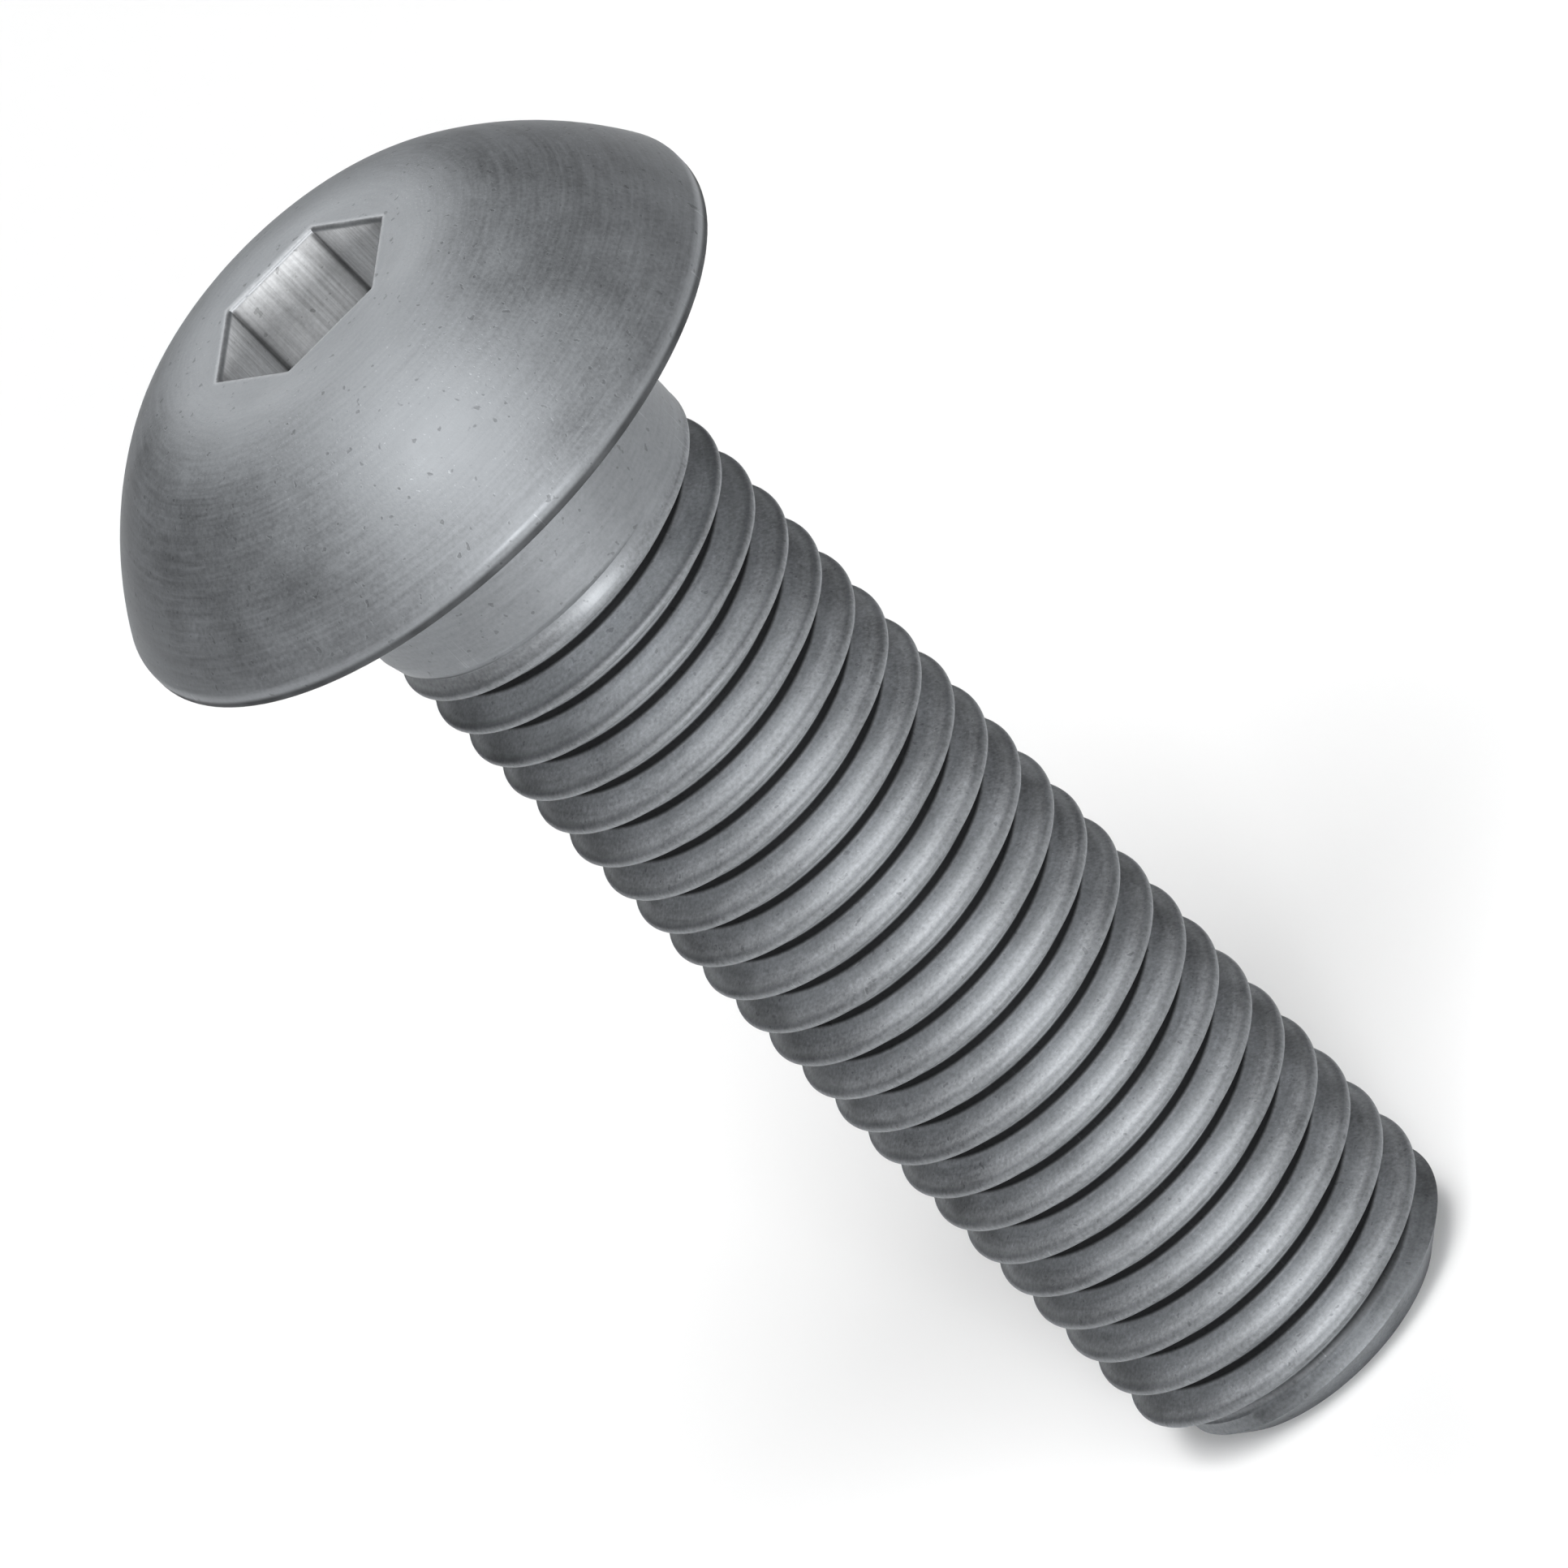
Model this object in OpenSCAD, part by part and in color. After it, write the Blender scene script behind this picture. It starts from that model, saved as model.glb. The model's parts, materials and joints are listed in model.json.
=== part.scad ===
// Button head socket screw, standing on the flat end of its tip.
// Each shape is made on the screw's own axis, with the bearing face at height 0 and the tip downwards.
// Sizes are in millimetres. The thread is a 5/16-24 right-hand thread.

/* [Head] */
// Diameter of the head
head_d = 14.88; // [13:0.02:17]
// Height of the head above its bearing face
head_h = 3.95; // [3.2:0.05:4.8]
// Thickness of the straight edge around the rim
rim_t = 0.38; // [0.1:0.02:0.8]
// Diameter of the flat land on top, around the socket
land_d = 5.42; // [4.6:0.02:6.4]
// Radius of the crown that blends the land into the dome
crown_r = 4; // [1:0.1:5]
// Radius of the fillet between the bearing face and the neck
seat_fillet_r = 0.35; // [0.1:0.05:0.8]

/* [Socket] */
// Width of the hexagon across its flats
socket_af = 3.97; // [3:0.01:4.6]
// Depth of the hexagon's walls
socket_depth = 2.67; // [1.5:0.01:3.2]
// Width of the flat ring at the foot of the walls
socket_ring = 0.15; // [0.05:0.05:0.4]
// Full angle of the cone below the ring
socket_point_angle = 120; // [100:5:150]
// Diameter of the cone's blunt point
socket_point_d = 0.6; // [0.2:0.1:1.2]

/* [Shank] */
// Length from the bearing face to the tip
shank_l = 28.575; // [16:0.005:50]
// Length of the plain neck under the head
neck_l = 3.2; // [1.5:0.1:6]

/* [Thread] */
// Outer diameter of the thread
thread_d = 7.9375; // [6.5:0.0005:9]
// Distance from one thread crest to the next
thread_pitch = 1.0583; // [0.8:0.0001:1.4]
// How far the crests stay inside the neck's surface
crest_allowance = 0.03; // [0.02:0.005:0.1]
// Length over which the groove runs out at the neck
runout_l = 0.9; // [0.3:0.05:2]
// How far the flat end of the tip lies inside the thread root
tip_inset = 0.33; // [0.1:0.01:0.8]
// Slope of the tip's chamfer, measured from the axis
tip_angle = 45; // [30:1:60]
// Sides of each turn of the thread
thread_sides = 30; // [16:2:36]

/* [Hidden] */
$fn = 96;

steel = [0.53, 0.545, 0.56];

// The thread's 60 degree profile, with the standard shares of its sharp height and of its pitch
flank_angle = 30;
depth_share = 17 / 24;
crest_share = 1 / 8;
sharp_h = thread_pitch / 2 / tan(flank_angle);
thread_depth = sharp_h * depth_share;
crest_w = thread_pitch * crest_share;
root_w = thread_pitch - crest_w - 2 * thread_depth * tan(flank_angle);

neck_r = thread_d / 2;
crest_r = neck_r - crest_allowance;
root_r = crest_r - thread_depth;
tip_r = root_r - tip_inset;
tip_chamfer_l = (crest_r - tip_r) / tan(tip_angle);

// The dome is an arc centred on the axis. It starts at the rim's edge and meets the crown's arc smoothly,
// and both conditions together make a quadratic for the height of its centre.
head_r = head_d / 2;
land_r = land_d / 2;
crown_span = 0.85;
crown_fit_r = min(crown_r, crown_span * (head_r - land_r));
crown_z = head_h - crown_fit_r;
rim_term = head_r ^ 2 + rim_t ^ 2 - crown_fit_r ^ 2 - land_r ^ 2 - crown_z ^ 2;
quad_a = 4 * (crown_fit_r ^ 2 - (crown_z - rim_t) ^ 2);
quad_b = -8 * crown_fit_r ^ 2 * crown_z - 4 * rim_term * (crown_z - rim_t);
quad_c = 4 * crown_fit_r ^ 2 * (land_r ^ 2 + crown_z ^ 2) - rim_term ^ 2;
dome_z = (-quad_b - sqrt(quad_b ^ 2 - 4 * quad_a * quad_c)) / (2 * quad_a);
dome_r = norm([head_r, rim_t - dome_z]);
crown_end_z = dome_z + (crown_z - dome_z) * dome_r / (dome_r - crown_fit_r);

// Overlap that ties the thread to the neck
bond = 0.6;

// The thread's corners along one pitch, counted from the middle of a crest: distance towards the tip, and depth
corners = [
    [-crest_w / 2, 0],
    [crest_w / 2, 0],
    [thread_pitch / 2 - root_w / 2, thread_depth],
    [thread_pitch / 2 + root_w / 2, thread_depth]
];
corner_count = len(corners);

// The thread starts in the neck. At the back, half a turn round, its last full crest ends at the chamfer.
thread_top = neck_l - bond;
full_thread_end = shank_l - tip_chamfer_l;
last_crest = full_thread_end - crest_w / 2 + thread_pitch / 2;
turns_up = ceil((last_crest - thread_top) / thread_pitch) + 1;
turns_down = ceil((shank_l - last_crest) / thread_pitch) + 2;
first_crest = last_crest - turns_up * thread_pitch;
row_count = (turns_up + turns_down) * corner_count;

// Distance of a thread row from the bearing face, at one of the sides
function row_at(row, side) =
    first_crest
    + floor(row / corner_count) * thread_pitch
    + corners[row % corner_count][0]
    - thread_pitch * side / thread_sides;

// Share of the full groove depth, which runs out at the neck
function groove_share(along) = max(0, min(1, (along - neck_l) / runout_l));

// Radius of a thread row at a distance from the bearing face, kept inside the tip's chamfer
function row_radius(row, along) =
    min(
        crest_r - corners[row % corner_count][1] * groove_share(along),
        tip_r + (shank_l - along) * tan(tip_angle)
    );

function thread_point(row, side) =
    let(
        along = max(thread_top, min(shank_l, row_at(row, side))),
        turn = 360 * side / thread_sides,
        radius = row_radius(row, along)
    )
    [radius * cos(turn), radius * sin(turn), -along];

// Rows past an end are drawn together on that end's flat face
function first_row(side) = max([for (row = [0:row_count - 1]) if (row_at(row, side) <= thread_top) row]);
function last_row(side) = min([for (row = [0:row_count - 1]) if (row_at(row, side) >= shank_l) row]);
first_rows = [for (side = [0:thread_sides - 1]) first_row(side)];
last_rows = [for (side = [0:thread_sides - 1]) last_row(side)];

// Past the last side, a row goes on as the one a pitch nearer the head
function point_index(row, side) =
    side == thread_sides
        ? point_index(row - corner_count, 0)
        : side * row_count + max(first_rows[side], min(last_rows[side], row));

function is_triangle(face) = face[0] != face[1] && face[1] != face[2] && face[2] != face[0];

module stand_on_tip() {
    translate([0, 0, shank_l])
        children();
}

module head_section() {
    intersection() {
        translate([0, dome_z])
            circle(r = dome_r);
        square([head_r, crown_end_z]);
    }
    intersection() {
        translate([land_r, crown_z])
            circle(r = crown_fit_r);
        translate([0, crown_end_z])
            square([head_r, head_h - crown_end_z]);
    }
    square([land_r, head_h]);
}

module neck_section() {
    translate([0, -neck_l])
        square([neck_r, neck_l]);
    difference() {
        translate([0, -seat_fillet_r])
            square([neck_r + seat_fillet_r, seat_fillet_r]);
        translate([neck_r + seat_fillet_r, -seat_fillet_r])
            circle(r = seat_fillet_r);
    }
}

// Hexagon with flats to the front and back, and a blunt cone under it
module socket_cut() {
    hex_sides = 6;
    half_side = 180 / hex_sides;
    cone_r = socket_af / 2 - socket_ring;
    point_r = socket_point_d / 2;
    cone_h = (cone_r - point_r) / tan(socket_point_angle / 2);
    over = 1;
    translate([0, 0, head_h - socket_depth])
        rotate([0, 0, half_side])
            cylinder(d = socket_af / cos(half_side), h = socket_depth + over, $fn = hex_sides);
    translate([0, 0, head_h - socket_depth - cone_h])
        cylinder(r1 = point_r, r2 = cone_r, h = cone_h);
}

module head_and_neck() {
    difference() {
        rotate_extrude() {
            head_section();
            neck_section();
        }
        socket_cut();
    }
}

module thread() {
    points = [
        for (side = [0:thread_sides - 1])
            for (row = [0:row_count - 1])
                thread_point(row, side)
    ];
    wall = [
        for (side = [0:thread_sides - 1])
            for (row = [0:row_count + corner_count - 1])
                let(
                    a = point_index(row, side),
                    b = point_index(row + 1, side),
                    c = point_index(row + 1, side + 1),
                    d = point_index(row, side + 1)
                )
                each [for (face = [[a, c, b], [a, d, c]]) if (is_triangle(face)) face]
    ];
    top_end = [for (side = [thread_sides - 1:-1:0]) point_index(0, side)];
    tip_end = [for (side = [0:thread_sides - 1]) point_index(row_count, side)];
    polyhedron(points, concat([top_end, tip_end], wall));
}

module screw() {
    color(steel)
        stand_on_tip()
            union() {
                head_and_neck();
                thread();
            }
}

screw();
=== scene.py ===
"""Button head socket screw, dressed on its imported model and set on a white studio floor.

The screw is one piece of satin grey steel. Its head, neck and tip are skinned ring by ring, and its
thread is a Geometry Nodes tree that winds one pitch of the thread's profile down the shank. Sizes are
in metres. The screw's own axis is local Z, with the bearing face at height 0, the head above it and the
tip below.
"""

import json
import logging
import math
from dataclasses import dataclass, field, fields
from enum import Enum
from typing import Any, Callable, Optional, Sequence, Union

import bmesh
import bpy
from mathutils import Matrix, Vector

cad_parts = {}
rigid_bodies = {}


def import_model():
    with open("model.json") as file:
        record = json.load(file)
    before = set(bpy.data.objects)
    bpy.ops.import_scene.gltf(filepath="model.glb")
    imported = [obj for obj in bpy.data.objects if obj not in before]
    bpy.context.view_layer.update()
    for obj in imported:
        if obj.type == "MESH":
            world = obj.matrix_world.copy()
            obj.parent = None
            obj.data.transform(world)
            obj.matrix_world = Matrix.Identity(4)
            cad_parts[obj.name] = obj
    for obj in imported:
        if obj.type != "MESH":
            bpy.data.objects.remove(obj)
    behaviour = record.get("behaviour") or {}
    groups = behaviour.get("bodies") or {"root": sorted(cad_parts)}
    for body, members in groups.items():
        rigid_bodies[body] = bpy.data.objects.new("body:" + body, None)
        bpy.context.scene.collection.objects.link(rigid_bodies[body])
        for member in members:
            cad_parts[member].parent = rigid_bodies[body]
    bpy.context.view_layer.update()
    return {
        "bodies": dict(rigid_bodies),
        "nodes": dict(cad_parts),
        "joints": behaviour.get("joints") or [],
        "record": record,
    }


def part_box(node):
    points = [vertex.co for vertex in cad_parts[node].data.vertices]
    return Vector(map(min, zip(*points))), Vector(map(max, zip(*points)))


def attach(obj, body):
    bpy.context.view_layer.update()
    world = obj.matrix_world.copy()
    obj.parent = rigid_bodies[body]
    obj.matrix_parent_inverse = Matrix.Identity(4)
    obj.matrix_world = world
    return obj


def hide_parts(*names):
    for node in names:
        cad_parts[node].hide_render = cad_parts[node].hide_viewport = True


LOG = logging.getLogger("screw_scene")

MM = 0.001
QUARTER_TURN = math.pi / 2
NOISE_ROUGHNESS = 0.55
# Columns of vertices round the axis, and how near vertices are welded
COLUMNS = 144
WELD = 1e-6
# Faces that meet at more than this keep a sharp edge
SHARP_ANGLE = math.radians(32)
# Turn from one side of a hexagon to the next
HEX_TURN = math.pi / 3
# Standard thread: slope of a flank, groove's share of the sharp height, and crest's share of the pitch
FLANK_ANGLE = math.radians(30)
DEPTH_SHARE = 17 / 24
CREST_SHARE = 1 / 8
NODE = "screw"
BODY = "root"

Point2 = tuple[float, float]
Span = tuple[float, float]
Colour = tuple[float, float, float]


class Blend(Enum):
    """How a transition between two values runs."""

    LINEAR = "LINEAR"
    SMOOTH = "SMOOTHSTEP"


class LampRole(Enum):
    """What a studio lamp is there for."""

    KEY = "key_softbox"
    FRONT = "front_softbox"
    BACK_TOP = "back_top_softbox"
    BACK = "back_softbox"


# Shader maths


class Signal:
    """A shader socket that can be used in Python sums.

    Args:
        graph: The graph that new Math nodes go into.
        socket: The output socket that this signal stands for.
    """

    def __init__(self, graph: "ShaderGraph", socket: bpy.types.NodeSocket) -> None:
        self.graph = graph
        self.socket = socket

    def _math(self, operation: str, *values: "Number") -> "Signal":
        """Adds one Math node on these values."""
        inputs = dict(enumerate(values))
        return self.graph.node("ShaderNodeMath", {"operation": operation}, inputs)

    def __add__(self, other: "Number") -> "Signal":
        """Sum."""
        return self._math("ADD", self, other)

    def __radd__(self, other: "Number") -> "Signal":
        """Sum with a number in front."""
        return self._math("ADD", other, self)

    def __sub__(self, other: "Number") -> "Signal":
        """Difference."""
        return self._math("SUBTRACT", self, other)

    def __rsub__(self, other: "Number") -> "Signal":
        """Difference with a number in front, as in 1 - mask."""
        return self._math("SUBTRACT", other, self)

    def __mul__(self, other: "Number") -> "Signal":
        """Product."""
        return self._math("MULTIPLY", self, other)

    def __rmul__(self, other: "Number") -> "Signal":
        """Product with a number in front."""
        return self._math("MULTIPLY", other, self)

    def __truediv__(self, other: "Number") -> "Signal":
        """Quotient."""
        return self._math("DIVIDE", self, other)

    def hypot(self, other: "Signal") -> "Signal":
        """Length of the right triangle's long side over this signal and another."""
        return self._math("SQRT", self * self + other * other)

    def size(self) -> "Signal":
        """This signal without its sign."""
        return self._math("ABSOLUTE", self)

    def at_least(self, other: "Number") -> "Signal":
        """The larger of this signal and another."""
        return self._math("MAXIMUM", self, other)

    def ramp(self, start: float, end: float, blend: Blend = Blend.SMOOTH) -> "Signal":
        """Goes from 0 at start to 1 at end.

        Args:
            start: Value of this signal at which the ramp is 0.
            end: Value of this signal at which the ramp is 1.
            blend: Straight or smooth.

        Returns:
            The ramp, kept between 0 and 1.
        """
        settings = {"interpolation_type": blend.value, "clamp": True}
        low, high = (start, end) if start < end else (end, start)
        inputs = {"Value": self, "From Min": low, "From Max": high}
        rising = self.graph.node("ShaderNodeMapRange", settings, inputs)
        return rising if start < end else 1 - rising

    def zone(self, span: Span, origin: float = 0.0) -> "Signal":
        """Smooth ramp over a span that is counted from an origin."""
        return self.ramp(origin + span[0], origin + span[1])


Number = Union[Signal, float, int]
Settings = Optional[dict[str, Any]]
Inputs = Optional[dict[Union[str, int], Any]]


def add_node(tree: bpy.types.NodeTree, kind: str, settings: Settings, inputs: Inputs) -> bpy.types.Node:
    """Adds a node to a tree, sets it up and connects it.

    Args:
        tree: The tree.
        kind: The node's type name.
        settings: The node's own properties, set before its sockets.
        inputs: A value, a signal or a socket for each named or numbered input.

    Returns:
        The node.
    """
    made = tree.nodes.new(kind)
    for key, value in (settings or {}).items():
        setattr(made, key, value)
    for key, value in (inputs or {}).items():
        source = value.socket if isinstance(value, Signal) else value
        if isinstance(source, bpy.types.NodeSocket):
            tree.links.new(source, made.inputs[key])
        else:
            made.inputs[key].default_value = source
    return made


class ShaderGraph:
    """A material's node tree, filled through one node-making method.

    Args:
        name: Name of the material.
    """

    def __init__(self, name: str) -> None:
        self.material = bpy.data.materials.new(name)
        self.material.use_nodes = True
        self.tree = self.material.node_tree
        self.tree.nodes.remove(self.tree.nodes["Principled BSDF"])

    def node(
        self, kind: str, settings: Settings = None, inputs: Inputs = None, output: Union[str, int] = 0
    ) -> Signal:
        """Adds a node as add_node does, and returns one of its outputs as a signal."""
        return Signal(self, add_node(self.tree, kind, settings, inputs).outputs[output])

    def part(self, signal: Signal, output: str) -> Signal:
        """Another output of the node that a signal comes from."""
        return Signal(self, signal.socket.node.outputs[output])

    def noise(self, place: Signal, size: float, detail: float = 2.0) -> Signal:
        """Noise from 0 to 1 with features of about one size.

        Args:
            place: Vector that the noise is read at.
            size: Size of a feature, in metres.
            detail: Octaves of finer noise.

        Returns:
            The noise value.
        """
        inputs = {"Vector": place, "Scale": 1.0 / size, "Detail": detail, "Roughness": NOISE_ROUGHNESS}
        return self.node("ShaderNodeTexNoise", {"noise_dimensions": "3D"}, inputs, "Fac")

    def ripple(self, place: Signal, size: float, detail: float = 2.0) -> Signal:
        """The same noise, around 0."""
        return self.noise(place, size, detail) - 0.5

    def mix(self, factor: Number, first: Any, second: Any) -> Signal:
        """Mixes two colours.

        Args:
            factor: Share of the second colour.
            first: Colour, or a signal of one.
            second: Colour, or a signal of one.

        Returns:
            The mixed colour.
        """
        pair = [(*value, 1.0) if isinstance(value, tuple) else value for value in (first, second)]
        # A Mix node has one set of sockets for each data type, and these are the ones for colours
        inputs = {0: factor, 6: pair[0], 7: pair[1]}
        return self.node("ShaderNodeMix", {"data_type": "RGBA"}, inputs, 2)

    def finish(self, shader: Signal) -> bpy.types.Material:
        """Connects the shader to the material's output and returns the material."""
        self.tree.links.new(shader.socket, self.tree.nodes["Material Output"].inputs["Surface"])
        return self.material


# The screw


@dataclass(frozen=True)
class Placement:
    """Where the screw stands.

    Args:
        seat: Centre of the bearing face.
        to_tip: Direction of the axis from head to tip.
    """

    seat: Vector
    to_tip: Vector

    @classmethod
    def from_record(cls, mounts: dict[str, dict]) -> "Placement":
        """Reads the bearing face and the neck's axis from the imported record.

        Args:
            mounts: The record's mounts by name.

        Returns:
            The screw's place in the frame.
        """
        to_tip = Vector(mounts["neck"]["axis"]).normalized()
        on_axis = Vector(mounts["neck"]["pos_m"])
        on_face = Vector(mounts["bearing_face"]["pos_m"])
        return cls(on_axis + to_tip * (on_face - on_axis).dot(to_tip), to_tip)

    def matrix(self) -> Matrix:
        """Matrix from the screw's own axes to the frame, with local Y kept level."""
        up_axis = -self.to_tip
        level = Vector((0.0, 1.0, 0.0))
        across = level.cross(up_axis)
        turn = Matrix((across, level, up_axis)).transposed()
        return Matrix.Translation(self.seat) @ turn.to_4x4()


@dataclass(frozen=True)
class Weights:
    """How much each of the steel's layers adds to one of its properties.

    Args:
        grain: Finest grain.
        speckle: Grain that is twice as strong on the thread.
        mottle: Soft cloudy patches.
        tooling: Rings from forming, and lines from broaching in the socket.
        pits: Small pits.
        scratches: Fine scratches.
        crest: The thread's crests.
        flank: The thread's flanks.
        root: The thread's roots.
        socket: Walls and floor of the socket.
        mouth: Edge of the socket's mouth.
        rim: Wall of the head's rim.
    """

    grain: float = 0.0
    speckle: float = 0.0
    mottle: float = 0.0
    tooling: float = 0.0
    pits: float = 0.0
    scratches: float = 0.0
    crest: float = 0.0
    flank: float = 0.0
    root: float = 0.0
    socket: float = 0.0
    mouth: float = 0.0
    rim: float = 0.0


@dataclass(frozen=True)
class SteelFinish:
    """Satin grey steel as formed, brighter on worn edges, with painted shade in its thread's roots and
    socket.

    Args:
        base: Colour of the plain surface.
        root: Near-black colour of the painted shade in the thread's roots and in the socket's corners
            and floor; it also darkens the rim's wall.
        edge: Colour of the polished crests and edges.
        rolled: Colour of the thread's flanks, lighter partly from the burnish that rolling gives and
            partly as painted light that evens out the shade down the flanks.
        broached: Colour of the cut walls in the socket.
        roughness: Roughness of the plain surface.
        metallic: Share of metal in the plain surface.
        grain: Size of the finest grain.
        mottle: Size of the soft cloudy patches.
        streak: Width of the faint rings that forming leaves around the axis.
        streak_run: How far the rings' noise travels on its way round.
        pit: Size of the few small pits.
        hairline: Width of the few fine scratches.
        broach_line: Width of the lines that broaching leaves down the socket's walls.
        stretch: Share of its scale that noise keeps along a line or a scratch.
        pit_span: Noise over which a pit starts.
        hairline_span: Noise over which a scratch starts.
        patch_span: Noise over which a scratched patch starts.
        scratch_turns: Directions of the scratches, each as three turns in radians.
        ring_share: Strength of the rings.
        line_share: Strength of the broaching lines.
        crest_wear: Share of the edge colour on the crests.
        mouth_wear: Share of the edge colour on the socket's mouth.
        wear_mottle: How far the patches change that wear.
        wear_grain: How far the grain changes it.
        rim_shade: Share of the root colour on the rim's wall.
        rim_mottle: How far the patches change that share.
        root_shade: Share of the root colour in the roots, as painted shade.
        corner_shade: Share of the root colour towards the socket's corners, as painted shade.
        corner_line: Share of it in the corners themselves, as a painted line of shade.
        floor_shade: Share of it on the socket's floor, as painted shade.
        tone: What lightens and darkens the colour.
        sheen: What changes the roughness.
        metal: What changes the share of metal.
        height: What raises and lowers the relief.
        bump: Strength of the relief.
        relief: Height of the relief.
    """

    base: Colour = (0.265, 0.278, 0.292)
    # Near-black, for the painted shade in the thread's roots and the socket's corners and floor
    root: Colour = (0.008, 0.008, 0.009)
    edge: Colour = (0.42, 0.43, 0.445)
    # Partly burnish from rolling, partly painted light that lifts the shade on the flanks
    rolled: Colour = (0.46, 0.476, 0.495)
    broached: Colour = (0.74, 0.752, 0.765)
    roughness: float = 0.55
    metallic: float = 0.78
    grain: float = 0.085 * MM
    mottle: float = 1.6 * MM
    streak: float = 0.11 * MM
    streak_run: float = 0.4 * MM
    pit: float = 0.17 * MM
    hairline: float = 0.05 * MM
    broach_line: float = 0.07 * MM
    stretch: float = 0.03
    pit_span: Span = (0.68, 0.76)
    hairline_span: Span = (0.76, 0.82)
    patch_span: Span = (0.52, 0.60)
    scratch_turns: tuple[tuple[float, float, float], ...] = ((0.6, 0.5, 0.9), (1.1, -0.7, 2.3))
    ring_share: float = 0.42
    line_share: float = 0.90
    crest_wear: float = 0.12
    mouth_wear: float = 0.45
    wear_mottle: float = 2.0
    wear_grain: float = 1.5
    rim_shade: float = 0.7
    rim_mottle: float = 0.8
    root_shade: float = 0.95
    corner_shade: float = 0.32
    # Painted line of shade in the socket's corners
    corner_line: float = 0.45
    floor_shade: float = 0.55
    tone: Weights = Weights(mottle=0.45, speckle=0.45, tooling=1.0, pits=-0.32, scratches=0.18)
    sheen: Weights = Weights(
        mottle=0.30, tooling=0.30, grain=0.20, scratches=-0.08,
        rim=0.20, crest=0.10, flank=0.05, root=0.22, mouth=-0.06,
    )
    metal: Weights = Weights(flank=0.17, root=0.05, socket=-0.53)
    height: Weights = Weights(grain=0.5, tooling=0.6, pits=-0.5, scratches=-0.25)
    bump: float = 0.35
    relief: float = 0.018 * MM


@dataclass(frozen=True)
class ZoneSpans:
    """Spans over which the masks of the steel's zones run from 0 to 1.

    Args:
        thread: Past the end of the neck, into the thread.
        chamfer: Pitches past the end of the full thread, into the chamfer.
        root: Shares of the groove's depth, into the roots.
        flank: Shares of the groove's depth, onto the flanks.
        crest: Shares of the groove's depth, onto the crests.
        least_depth: Least share of the full depth that those are counted in, where the groove runs out.
        head: Above the bearing face, into the head.
        wall: Above the land, down to the socket's walls.
        socket: Outside the socket's flats, into the socket.
        corner_start: Outside the flats' nearest point, where the shade towards a corner starts.
        corner: Outside the socket's corners, into them.
        floor: Above the land, down to the socket's floor.
        mouth: Outside the socket's flats, onto its mouth.
        mouth_top: Above the land, up to the mouth.
        rim: Outside the head's edge, onto the rim's wall.
        rim_low: Above the bearing face, down the rim's wall.
    """

    thread: Span = (0.10 * MM, 0.30 * MM)
    chamfer: Span = (-0.25, 0.25)
    root: Span = (0.90, 0.99)
    flank: Span = (0.06, 0.30)
    crest: Span = (0.14, 0.0)
    least_depth: float = 0.1
    head: Span = (-0.5 * MM, 0.0)
    wall: Span = (-0.06 * MM, -0.14 * MM)
    socket: Span = (0.10 * MM, 0.05 * MM)
    corner_start: float = 0.02 * MM
    corner: Span = (-0.07 * MM, -0.01 * MM)
    floor: Span = (-1.7 * MM, -2.4 * MM)
    mouth: Span = (0.18 * MM, 0.06 * MM)
    mouth_top: Span = (-0.2 * MM, -0.02 * MM)
    rim: Span = (-0.10 * MM, -0.04 * MM)
    rim_low: Span = (0.26 * MM, 0.14 * MM)


class RingSkin:
    """A closed skin of rings about the local axis, all with the same number of columns."""

    def __init__(self) -> None:
        self.mesh = bmesh.new()
        self.rings: list[list[bmesh.types.BMVert]] = []

    def ring(self, radius: Union[float, Callable[[float], float]], height: float) -> None:
        """Adds a ring.

        Args:
            radius: Radius of the ring, or a function that gives it at an angle.
            height: Height of the ring along the axis.
        """
        made = []
        for column in range(COLUMNS):
            angle = math.tau * column / COLUMNS
            reach = radius(angle) if callable(radius) else radius
            made.append(self.mesh.verts.new((reach * math.cos(angle), reach * math.sin(angle), height)))
        self.rings.append(made)

    def path(self, points: Sequence[Point2]) -> None:
        """Adds a round ring for each point, given as radius and height."""
        for radius, height in points:
            self.ring(radius, height)

    def close(self, height: float) -> None:
        """Closes the last ring with one point on the axis."""
        self.rings.append([self.mesh.verts.new((0.0, 0.0, height))])

    def to_mesh(self, name: str) -> bpy.types.Mesh:
        """Joins neighbouring rings with faces.

        Args:
            name: Name of the mesh.

        Returns:
            The skin as a mesh.
        """
        for low, high in zip(self.rings, self.rings[1:]):
            for column in range(COLUMNS):
                after = (column + 1) % COLUMNS
                if len(high) == 1:
                    self.mesh.faces.new((low[column], low[after], high[0]))
                else:
                    self.mesh.faces.new((low[column], low[after], high[after], high[column]))
        made = bpy.data.meshes.new(name)
        self.mesh.to_mesh(made)
        self.mesh.free()
        return made


def arc(centre: Point2, radius: float, start: float, end: float, steps: int) -> list[Point2]:
    """Points along an arc in the plane of radius and height.

    Args:
        centre: Centre of the arc.
        radius: Radius of the arc.
        start: Angle of the first point from the outward direction, in radians.
        end: Angle of the last point.
        steps: Number of steps between them.

    Returns:
        The points, both ends included.
    """
    angles = [start + (end - start) * step / steps for step in range(steps + 1)]
    return [(centre[0] + radius * math.cos(a), centre[1] + radius * math.sin(a)) for a in angles]


def line(start: Point2, end: Point2, steps: int) -> list[Point2]:
    """Points along a straight line, without its two ends."""
    shares = [step / steps for step in range(1, steps)]
    return [(start[0] + (end[0] - start[0]) * t, start[1] + (end[1] - start[1]) * t) for t in shares]


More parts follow.
